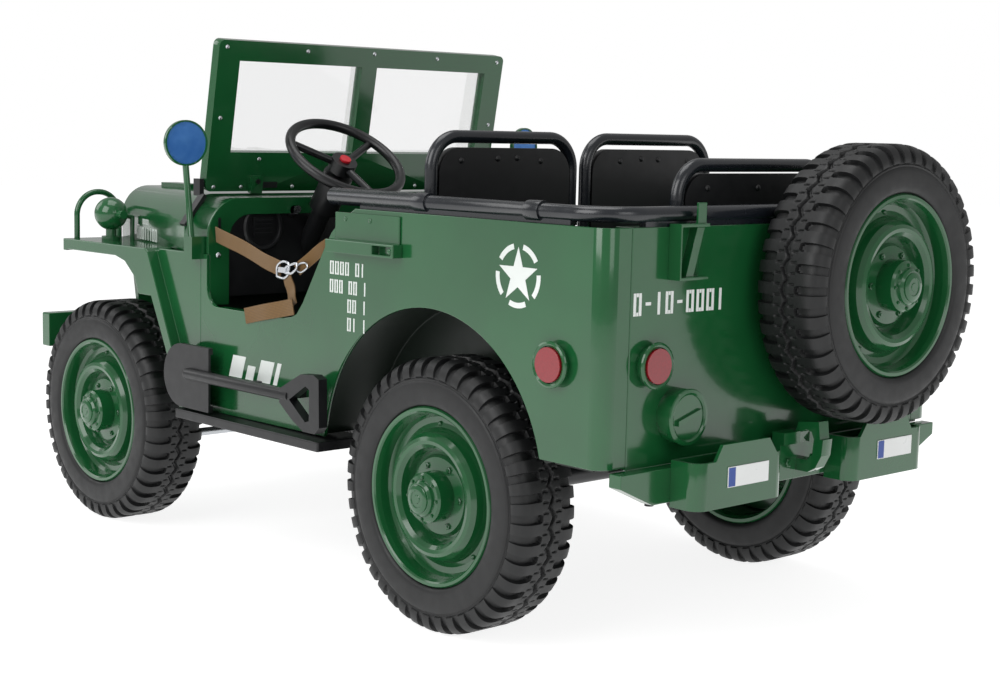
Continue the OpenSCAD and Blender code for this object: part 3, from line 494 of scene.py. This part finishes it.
def starShapes(origin, right, up):
    # five-pointed star: radius alternates between tip and notch every 36 degrees, inside a
    # ring whose five arcs leave a gap at each tip
    turn = np.pi / 2 + np.arange(10) * np.pi / 5
    reach = np.where(np.arange(10) % 2 == 0, star["tip"], star["notch"])
    shapes = [slab(np.column_stack([reach * np.cos(turn), reach * np.sin(turn)]), origin, right,
                   up, mark["low"], mark["high"])]
    gap = math.radians(star["gap"])
    for k in range(5):
        arc = np.linspace(gap, 2 * np.pi / 5 - gap, 14) + np.pi / 2 + k * 2 * np.pi / 5
        edge = np.column_stack([np.cos(arc), np.sin(arc)])
        shapes.append(slab(np.vstack([edge * star["ringOut"], edge[::-1] * star["ringIn"]]),
                           origin, right, up, mark["low"], mark["high"]))
    return shapes


def block(u0, u1, v0, v1, lean=0.0):
    # corners of a bar, its top pushed sideways by lean times its height
    return [(u0 + lean * v0, v0), (u1 + lean * v0, v0), (u1 + lean * v1, v1), (u0 + lean * v1, v1)]


def stencilRow(kinds, origin, right, up, height, pitch, stroke):
    # a row of generic stencil signs: z is a zero cut by bridges, i a bar, d a dash; sign k
    # runs from k pitches to k pitches plus its share of a pitch
    shapes, bridge = [], mark["bridge"]
    for k, kind in enumerate(kinds):
        u0, u1 = k * pitch, k * pitch + pitch * mark["share"]
        bars = {
            "z": [block(u0, u0 + stroke, 0, height), block(u1 - stroke, u1, 0, height),
                  block(u0 + stroke + bridge, u1 - stroke - bridge, height - stroke, height),
                  block(u0 + stroke + bridge, u1 - stroke - bridge, 0, stroke)],
            "i": [block((u0 + u1 - stroke) / 2, (u0 + u1 + stroke) / 2, 0, height)],
            "d": [block(u0 + stroke * 0.5, u1 - stroke * 0.5, height * 0.44, height * 0.58)],
            " ": [],
        }[kind]
        shapes += [slab(bar, origin, right, up, mark["low"], mark["high"]) for bar in bars]
    return shapes


doorSigns = {
    # signs, height above the ground, first edge along the car, pitch
    "rows": [("zzzz zi", 467.0, 97.0, 11.6), ("zzz zz i", 441.0, 97.0, 10.8),
             ("zz i", 415.0, 138.0, 11.2), ("zi i", 389.0, 138.0, 11.2)],
    "tall": 19.0, "stroke": 2.6,
}
emblem = {
    # first edge, width and height of each slanted bar
    "bars": [(0, 34, 34), (44, 20, 22), (74, 34, 34), (116, 10, 34)],
    "bottom": 290, "leftStart": -156, "rightStart": -26, "lean": 0.35,
}
bonnetSigns = {
    # half the bonnet's width at its nose, how much it grows for each millimetre back, and
    # how far back the marks start and reach
    "noseHalf": 252, "slope": 0.2575, "back": 86, "start": -550, "length": 118,
    # signs, height above the ground, first edge, tall, pitch, stroke
    "rows": [("zzziiizz", 476, 0, 21.0, 14.6, 3.0), ("zzzz", 502, 34, 9.0, 8.6, 1.8)],
}
tailSigns = {"signs": "zdizdzzzi", "x": 300, "z": 454, "tall": 28.0, "pitch": 19.4, "stroke": 4.6}
# the band's width, height and thickness, and where it starts on each plate
plateBand = {"width": 13, "top": 25, "low": -0.1, "high": 0.3, "inset": 0.8, "second": 79.2}
for side, sideName in ((1, "left"), (-1, "right")):
    right, up = sideFrame(side)
    shapes = starShapes((side * sideX, star["y"], star["z"]), right, up)
    for kinds, z, y, pitch in doorSigns["rows"]:
        start = y if side > 0 else y + pitch * len(kinds)
        shapes += stencilRow(kinds, (side * sideX, start, z), right, up, doorSigns["tall"], pitch,
                             doorSigns["stroke"])
    start = emblem["leftStart"] if side > 0 else emblem["rightStart"]
    for u, width, tall in emblem["bars"]:
        shapes.append(slab(block(u, u + width, 0, tall, emblem["lean"]),
                           (side * sideX, start, emblem["bottom"]), right, up, mark["low"],
                           mark["high"]))
    # the bonnet's side runs in toward the nose
    slope = bonnetSigns["slope"]
    along = np.array([side * slope, 1.0, 0]) / math.hypot(slope, 1)
    half = bonnetSigns["noseHalf"] + slope * bonnetSigns["back"]
    origin = np.array([side * half, bonnetSigns["start"], 0])
    reading = along if side > 0 else -along
    if side < 0:
        origin = origin + along * bonnetSigns["length"]
    for kinds, z, first, tall, pitch, stroke in bonnetSigns["rows"]:
        shapes += stencilRow(kinds, origin + upZ * z + reading * first, reading, up, tall, pitch,
                             stroke)
    makePiece(f"stencil_marks_{sideName}", shapes, vinylWhite, "car")
right, up = np.array([-1.0, 0, 0]), upZ
tailShapes = stencilRow(tailSigns["signs"], (tailSigns["x"], tailY, tailSigns["z"]), right, up,
                        tailSigns["tall"], tailSigns["pitch"], tailSigns["stroke"])
makePiece("stencil_marks_tail", tailShapes, vinylWhite, "car")
plateLow, plateHigh = corners("blank_plates")
bands = [slab(block(0, plateBand["width"], 1, plateBand["top"]), (x, plateHigh[1], plateLow[2]),
              right, up, plateBand["low"], plateBand["high"])
         for x in (plateHigh[0] - plateBand["inset"], plateLow[0] + plateBand["second"])]
makePiece("plate_bands", bands, vinylBlue, "car")
print("marks made")

screen = {
    "lean": math.radians(10), "face": 9.0,
    "screws": [(288, 222), (131, 222), (-7, 224), (-147, 222), (288, 109), (205, 43), (288, -3),
               (235, -3), (133, -3), (-288, 222), (-288, 109), (-205, 43), (-288, -3),
               (-133, -3)],
    "screwSize": (3.6, 1.8),
    # across from and to, up from and to; across, up and how far out from the face
    "badge": (165.0, 195.0, -4.0, 5.5), "clampScrew": (209, 8, 7.5),
}
pivot = jointAt["windscreen_fold"]
leanBack = np.array([0, math.cos(screen["lean"]), -math.sin(screen["lean"])])
leanUp = np.array([0, math.sin(screen["lean"]), math.cos(screen["lean"])])


def onScreen(x, z, depth):
    # a point on the leaning windscreen, depth measured back from its middle
    return pivot * np.array([0, 1, 1]) + np.array([x, 0, 0]) + leanUp * z + leanBack * depth


screws = [screwHead(onScreen(x, z, screen["face"]), leanBack, *screen["screwSize"])
          for x, z in screen["screws"]]
makePiece("screen_screws", screws, zinc, "windscreen")
x0, x1, z0, z1 = screen["badge"]
badge = [slab(block(-x1, -x0, z0, z1), onScreen(0, 0, screen["face"]), (-1, 0, 0), leanUp, -0.5,
              2.2)]
clampX, clampZ, clampOut = screen["clampScrew"]
for side in (-1, 1):
    badge.append(lathe([[0, 0], [4, 0], [4, 3.5], [0, 3.5]],
                       onScreen(side * clampX, clampZ, screen["face"] + clampOut), leanBack, 16))
makePiece("screen_badge", badge, ppBlack, "windscreen")

dash = {
    # places as (across, height), the louvres' heights from the vent's middle, and the slot
    # in the jamb from one height to another, drawn as a flat black strip: painted shade
    "face": -224, "vent": (242.0, 513.0), "key": (184, 539), "switch": (147, 523),
    "louvres": (-11, -4, 3, 9), "jambScrew": (329, 471), "jambSlot": (327, 511, 529),
    "screwSize": (4.4, 2.2),
    # profiles as (radius, height)
    "ventRing": [[30, 0], [38, 0], [38, 3], [35, 5.5], [31.5, 5], [30, 2]],
    "keyBarrel": [[0, 0], [11, 0], [11, 4], [8, 6], [0, 6]],
    "keyEnd": [[0, 15], [6, 15], [6, 16.4], [0, 16.4]],
}
back = (0, 1, 0)
left = (-1, 0, 0)
jambX, jambZ = dash["jambScrew"]
jambScrews = [screwHead((side * jambX, cowlY, jambZ), back, *dash["screwSize"])
              for side in (-1, 1)]
ventAt = np.array([dash["vent"][0], dash["face"], dash["vent"][1]])
keyAt = (dash["key"][0], dash["face"], dash["key"][1])
switchAt = (dash["switch"][0], dash["face"], dash["switch"][1])
slotX, slotLow, slotHigh = dash["jambSlot"]
trim = []
for side in (-1, 1):
    vent = ventAt * (side, 1, 1)
    trim.append(lathe(dash["ventRing"], vent, back, 48))
    trim.append(slab(block(-19.5, 19.5, -15, 15), vent, left, upZ, -1, 4))
    trim += [slab(block(-16, 16, z, z + 2.4), vent, left, upZ, 3.5, 6) for z in dash["louvres"]]
    # the jamb slot is a flat black strip on the jamb's face, painted shade for the slot's dark
    # inside
    trim.append(slab(block(-2.5, 2.5, slotLow, slotHigh), (side * slotX, cowlY, 0), left, upZ,
                     -0.4, 0.5))
trim.append(lathe(dash["keyBarrel"], keyAt, back, 24))
trim.append(slab(block(-7, 7, -5, 5), switchAt, left, upZ, -1, 5))
trim.append(slab(block(-3, 3, -4, 4), switchAt, left, upZ, 4.5, 8))
makePiece("dash_trim", trim, ppBlack, "car")
jambScrews.append(slab(block(-1.2, 1.2, -6, 6), keyAt, left, upZ, 5.5, 15))
jambScrews.append(lathe(dash["keyEnd"], np.add(keyAt, (0, 0, 2)), back, 20))
makePiece("dash_screws", jambScrews, zinc, "car")

backY = corners("front_seats")[1][1]
seatTrim = {
    "frontScrews": [(169, 635), (84, 632), (238, 632), (131, 636)], "ribs": (520, 545),
    "seatX": 151, "ribHalf": 90, "rearScrews": (-104, 0, 104), "rearScrewZ": 606,
    "screwSize": (4.6, 2.2),
}
seatScrews, seatRibs = [], []
for side in (-1, 1):
    for x, z in seatTrim["frontScrews"]:
        seatScrews.append(screwHead((side * x, backY, z), back, *seatTrim["screwSize"]))
    for z in seatTrim["ribs"]:
        seatRibs.append(slab(block(-seatTrim["ribHalf"], seatTrim["ribHalf"], z, z + 2.2),
                             (side * seatTrim["seatX"], backY, 0), left, upZ, -0.4, 0.7))
rearY = corners("rear_seat")[1][1]
for x in seatTrim["rearScrews"]:
    seatScrews.append(screwHead((x, rearY, seatTrim["rearScrewZ"]), back,
                                *seatTrim["screwSize"]))
makePiece("seat_screws", seatScrews, steelBlack, "car")
makePiece("seat_ribs", seatRibs, ppBlack, "car")
print("screws and trim made")

drumLow, drumHigh = corners("socket_drum")
drumAt = np.array([(drumLow[0] + drumHigh[0]) / 2, drumHigh[1], (drumLow[2] + drumHigh[2]) / 2])
fitting = {
    "drumRim": [[28, -0.5], [35, -0.5], [36, 0.6], [35, 2.2], [31, 2.6], [28.5, 1.2]],
    "hookNuts": [(-28, 671, 248), (28, 671, 248)], "hookNut": (6.2, 4),
    # height off the body side, place along the car and height above the ground
    "plateScrews": [(3, 135, 547), (3, 190, 547)], "plateScrew": (3.6, 1.8),
    "handleAt": (17, 249, 509), "handleScrew": (4.0, 2.0),
}
fittings = [lathe(fitting["drumRim"], drumAt, back, 48),
            slab(block(-22, 22, -3, 3, 0.4), drumAt, (-0.96, 0, 0.28), (0.28, 0, 0.96), -0.5, 4)]
fittings += [hexNut(at, back, *fitting["hookNut"]) for at in fitting["hookNuts"]]
for side in (-1, 1):
    for off, y, z in fitting["plateScrews"]:
        fittings.append(screwHead((side * (sideX + off), y, z), (side, 0, 0),
                                  *fitting["plateScrew"]))
    off, y, z = fitting["handleAt"]
    fittings.append(screwHead((side * (sideX + off), y, z), (side, 0, 0),
                              *fitting["handleScrew"]))
makePiece("tail_fittings", fittings, absGreen, "car")

lampTrim = {
    # places on the left, and profiles as (radius, height)
    "tail": (266, 648, 392), "flank": (359, 555, 390), "head": (182, -652, 440),
    "rim": [[22.6, -1], [28.6, -1], [29.6, 0.4], [28.8, 2.4], [26.4, 3.4], [23.6, 2.4],
            [22.6, 0.4]],
    "headRim": [[36, -3], [40.5, -3], [41.5, 0], [40, 2.4], [37, 2.4], [36, 0]],
    "headLens": [[0, -1], [34, -1], [34, 0.4], [26, 3.6], [14, 5.6], [0, 6.4]],
}
lampRims, lampInner = [], []
for side in (-1, 1):
    flip = np.array([side, 1, 1])
    lampRims.append(lathe(lampTrim["rim"], lampTrim["tail"] * flip, back, 48))
    lampRims.append(lathe(lampTrim["rim"], lampTrim["flank"] * flip, (side, 0, 0), 48))
    centre = lampTrim["head"] * flip
    lampRims.append(lathe(lampTrim["headRim"], centre, (0, -1, 0), 56))
    lampInner.append(lathe(lampTrim["headLens"], centre, (0, -1, 0), 48))
makePiece("lamp_rims", lampRims, absGreen, "car")
makePiece("headlight_lenses", lampInner, clearAcrylic, "car")

# a bolt's place, its top and length, and where the tab behind it is
underbody = {"x": 214, "y": 596, "top": 240, "length": 26, "tab": 590}
down = (0, 0, -1)
drop = []
for side in (-1, 1):
    x, y = side * underbody["x"], underbody["y"]
    top, length = underbody["top"], underbody["length"]
    drop.append(lathe([[0, 0], [5, 0], [5, length], [0, length]], (x, y, top), down, 16))
    drop.append(lathe([[0, 0], [9, 0], [9, 4], [6, 7], [6, 13], [0, 13]], (x, y, top - length),
                      down, 20))
    drop.append(slab(block(-8, 8, 0, length), (x, underbody["tab"], top), left, upZ, -2, 2))
makePiece("underbody_bolts", drop, steelBlack, "car")
print("fittings made")

strap = {
    "thick": 1.6, "stations": 60,
    "front": {"knots": [(336, -214, 504), (335, -160, 492), (334, -95, 474), (335, -66, 468),
                        (335, -44, 463)], "width": 25.0, "lean": (0.22, 0.0, 1.0)},
    "rear": {"knots": [(334, -4, 464), (334, 22, 479), (334, 50, 496), (334, 74, 508)],
             "width": 18.0, "lean": (0.3, 0.0, 1.0)},
    "drop": {"knots": [(336, -26, 455), (338, -16, 440), (341, -7, 426), (344, 1, 412)],
             "width": 22.0, "lean": (0.1, 1.0, 0.4)},
    "tail": {"knots": [(351.4, 11, 412), (352.0, -28, 404), (352.6, -68, 396), (352.0, -110, 387)],
             "width": 24.0, "lean": (0.03, 0.0, 1.0)},
}


def strapPiece(name, spec):
    # a flat band: point = path + width direction * s + face direction * half thickness, with
    # s from -1 to 1 half widths and a low wave of 0.8 mm in the face direction along it
    path, length = evenPath(spec["knots"], strap["stations"])
    along = np.gradient(path, axis=0)
    along /= np.linalg.norm(along, axis=1, keepdims=True)
    wide = np.broadcast_to(np.asarray(spec["lean"], float), path.shape)
    wide = wide - (wide * along).sum(1, keepdims=True) * along
    wide /= np.linalg.norm(wide, axis=1, keepdims=True)
    face = np.cross(along, wide)
    wave = 0.8 * np.sin(np.linspace(0, 3 * np.pi, len(path)))[:, None]
    path = path + face * wave
    steps = np.linspace(-1, 1, 7)
    half = spec["width"] / 2
    top = [path + wide * s * half + face * strap["thick"] / 2 for s in steps]
    low = [path + wide * s * half - face * strap["thick"] / 2 for s in steps[::-1]]
    rings = np.stack(top + low, 1)
    rows, cols = rings.shape[:2]
    faces = gridQuads(rows, cols, closeCols=True).tolist()
    faces += [list(range(cols))[::-1], list(range((rows - 1) * cols, rows * cols))]
    piece = makePiece(name, [(rings, faces)], webbingTan, "car")
    mesh = piece.data
    weave = mesh.uv_layers.new(name="weave")
    u = np.concatenate([steps, steps[::-1]]) * half * mm
    v = np.linspace(0, length, rows) * mm
    grid = np.stack(np.broadcast_arrays(u[None, :], v[:, None]), -1).reshape(-1, 2)
    corner = np.zeros(len(mesh.loops), int)
    mesh.loops.foreach_get("vertex_index", corner)
    weave.data.foreach_set("uv", grid[corner].ravel())
    return piece


for part in ("front", "rear", "drop", "tail"):
    piece = strapPiece(f"door_strap_{part}", strap[part])
    if part == "front":
        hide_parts("door_strap")


def wireLoop(knots, wire, steps=10):
    # round wire: a circle of the wire's radius carried along a closed smooth path
    knots = np.asarray(knots, float)
    path = evenPath(np.vstack([knots, knots[:1]]), 65)[0][:-1]
    along = np.roll(path, -1, 0) - np.roll(path, 1, 0)
    along /= np.linalg.norm(along, axis=1, keepdims=True)
    wide = np.cross(along, (1.0, 0, 0))
    wide /= np.linalg.norm(wide, axis=1, keepdims=True)
    face = np.cross(along, wide)
    angle = np.linspace(0, 2 * np.pi, steps, endpoint=False)
    points = (path[:, None] + wire * np.cos(angle)[None, :, None] * wide[:, None]
              + wire * np.sin(angle)[None, :, None] * face[:, None])
    return points, gridQuads(len(path), steps, closeRows=True, closeCols=True)


hook = {
    # knots of each closed wire, then the wire's radius
    "wires": [
        ([(338, -48, 451), (339, -30, 450), (339, -18, 458), (338, -20, 472), (338, -36, 474),
          (338, -48, 466)], 1.9),
        ([(340, -24, 458), (341, -8, 459), (341, 4, 467), (340, 2, 474), (340, -12, 471),
          (340, -24, 466)], 1.9),
        ([(338, -2, 465), (339, 12, 462), (339, 28, 470), (338, 22, 476), (338, 8, 474)], 1.5),
    ],
    "gate": (338, -48, 462), "gateThick": 1.6,
}
buckle = [wireLoop(knots, wire) for knots, wire in hook["wires"]]
buckle.append(slab(block(4, 30, -4, 4, 0.2), hook["gate"], (0, 1, 0), upZ, 0,
                   hook["gateThick"]))
piece = makePiece("strap_hook", buckle, zinc, "car")
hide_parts("strap_buckle")
print("door strap made")

finishOf = {
    absGreen: "cowl side_panels tail_panel bonnet grille front_fenders front_bumper "
              "windscreen_frame mirrors fender_lamp lamp_guard lamp_rings side_handles "
              "rear_crossbar bumperettes tow_eye socket_drum rear_bracket spare_carrier "
              "spare_rim rim_front_left rim_front_right rim_rear_left rim_rear_right",
    ppDarkGreen: "cabin_tub arch_liners",
    ppBlack: "dashboard side_steps front_seats rear_seat hinge_brackets steering_column shovel",
    pvcBlack: "steering_wheel",
    steelBlack: "chassis_frame front_axle rear_axle leaf_springs knuckle_left knuckle_right",
    steelRail: "body_rail front_seat_frames rear_seat_frame",
    casing: "rear_motors battery",
    foil: "headlights", clearScreen: "windscreen_panes", redButton: "horn_button",
    mirrorBlue: "mirror_glass", redAcrylic: "lamp_lenses", webbingTan: "door_strap",
    zinc: "strap_buckle tie_rod", plateWhite: "blank_plates",
    evaTyre: "spare_tyre tyre_front_left tyre_front_right tyre_rear_left tyre_rear_right",
}
# millimetres of softened edge on each moulded node
edgeOf = {
    "side_panels": 1.6, "tail_panel": 1.6, "cowl": 1.8, "bonnet": 2.0, "front_fenders": 2.2,
    "front_bumper": 2.0, "windscreen_frame": 2.4, "grille": 2.0, "side_handles": 1.2,
    "rear_crossbar": 1.8, "bumperettes": 1.5, "tow_eye": 1.4, "rear_bracket": 1.0,
    "side_steps": 2.5, "shovel": 1.8, "dashboard": 2.0, "front_seats": 4.0, "rear_seat": 4.0,
    "cabin_tub": 2.0, "arch_liners": 2.0, "socket_drum": 2.2, "lamp_rings": 1.4,
    "lamp_lenses": 0.8, "mirrors": 0.8, "hinge_brackets": 1.0, "blank_plates": 0.3,
    "chassis_frame": 2.0, "front_axle": 1.5, "rear_motors": 2.0, "battery": 2.5,
    "knuckle_left": 1.2, "knuckle_right": 1.2, "horn_button": 1.0, "steering_column": 1.5,
    "spare_carrier": 1.5, "headlights": 1.2, "body_rail": 0.8,
}
softening = {"weld": 0.00002, "segments": 2, "angle": math.radians(30)}
for material, names in finishOf.items():
    for name in names.split():
        node = nodes[name]
        node.data.materials.clear()
        node.data.materials.append(material)
for name, width in edgeOf.items():
    weld = nodes[name].modifiers.new("weld", "WELD")
    weld.merge_threshold = softening["weld"]
    bevel = nodes[name].modifiers.new("softened edges", "BEVEL")
    bevel.width = width * mm
    bevel.segments = softening["segments"]
    bevel.limit_method = "ANGLE"
    bevel.angle_limit = softening["angle"]
    bevel.use_clamp_overlap = True
print("nodes finished")


view = {
    # place in metres, unit directions, then lens and sensor width in millimetres
    "place": (1.84294, 2.05756, 0.67686), "right": (-0.73351036, 0.67929465, 0.02283259),
    "up": (-0.06473051, -0.10325842, 0.99254605),
    "ahead": (-0.67658888, -0.72656485, -0.11971221), "lens": 62.28, "sensor": 36.0,
}


def placeCamera():
    # the camera's axes as right, up and backward columns
    lensData = bpy.data.cameras.new("camera")
    lensData.lens = view["lens"]
    lensData.sensor_width = view["sensor"]
    camera = bpy.data.objects.new("camera", lensData)
    bpy.context.collection.objects.link(camera)
    axes = (Vector(view["right"]), Vector(view["up"]), -Vector(view["ahead"]))
    turn = Matrix(axes).transposed().to_4x4()
    camera.matrix_world = Matrix.Translation(view["place"]) @ turn
    bpy.context.scene.camera = camera


studio = {
    "floorSize": 14.0, "airSeen": 1.0, "airLight": 0.42,
    # place, size in metres, watts
    "softboxes": {
        "side softbox": ((3.2, 0.3, 2.3), 2.4, 62),
        "tail softbox": ((0.6, 3.6, 1.8), 1.6, 14),
        "front softbox": ((1.6, -3.0, 2.0), 1.8, 16),
        "top softbox": ((0.2, -0.2, 3.4), 2.2, 34),
    },
}


def placeStudio():
    # a floor that isn't part of the object, even air light, and softboxes aimed at the car
    size = studio["floorSize"]
    mesh = bpy.data.meshes.new("floor")
    mesh.from_pydata([(-size, -size, 0), (size, -size, 0), (size, size, 0), (-size, size, 0)],
                     [], [(0, 1, 2, 3)])
    floor = bpy.data.objects.new("floor", mesh)
    bpy.context.collection.objects.link(floor)
    floor.data.materials.append(studioPaper)
    world = bpy.data.worlds.new("studio air")
    world.use_nodes = True
    tree = world.node_tree
    seen = addNode(tree, "ShaderNodeLightPath")
    strength = addNode(tree, "ShaderNodeMapRange", {"To Min": studio["airLight"],
                                                    "To Max": studio["airSeen"]},
                       {"Value": seen.outputs["Is Camera Ray"]})
    air = tree.nodes["Background"]
    air.inputs["Color"].default_value = (1, 1, 1, 1)
    tree.links.new(strength.outputs["Result"], air.inputs["Strength"])
    bpy.context.scene.world = world
    for name, (place, size, power) in studio["softboxes"].items():
        light = bpy.data.lights.new(name, "AREA")
        light.shape = "SQUARE"
        light.size = size
        light.energy = power
        box = bpy.data.objects.new(name, light)
        bpy.context.collection.objects.link(box)
        box.location = place
        aim = Vector((0, 0, 0.3)) - Vector(place)
        box.rotation_euler = aim.to_track_quat("-Z", "Y").to_euler()


placeCamera()
placeStudio()
bpy.context.scene.view_settings.view_transform = "Standard"
print("studio set")
